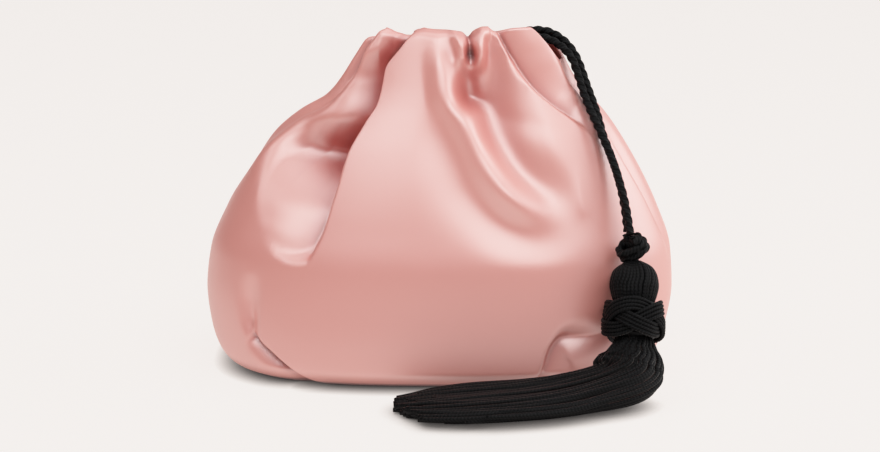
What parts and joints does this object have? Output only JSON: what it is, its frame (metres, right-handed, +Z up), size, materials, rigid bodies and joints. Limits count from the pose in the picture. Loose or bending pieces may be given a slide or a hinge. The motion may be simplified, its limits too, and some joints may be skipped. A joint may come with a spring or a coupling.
{
  "type": "drawstring pouch",
  "caption": "Soft satin pouch with a gathered open mouth, tied by a twisted black drawstring that ends in a knot and a large tassel lying on the floor.",
  "frame": {"origin": "middle of the pouch's flat base, on the floor", "axes": "+X to the right seen from the front, +Y to the back, +Z up through the mouth"},
  "size_m": [0.2104, 0.1691, 0.1527],
  "materials": {
    "pink_satin": "soft pink satin weave with a broad sheen",
    "black_cord": "black twisted viscose cord"
  },
  "bodies": {
    "root": {"pouch_shell": "pink_satin", "drawstring_lower": "black_cord", "drawstring_upper": "black_cord", "cord_knot": "black_cord", "tassel_strands": "black_cord", "tassel_band": "black_cord"}
  },
  "joints": []
}
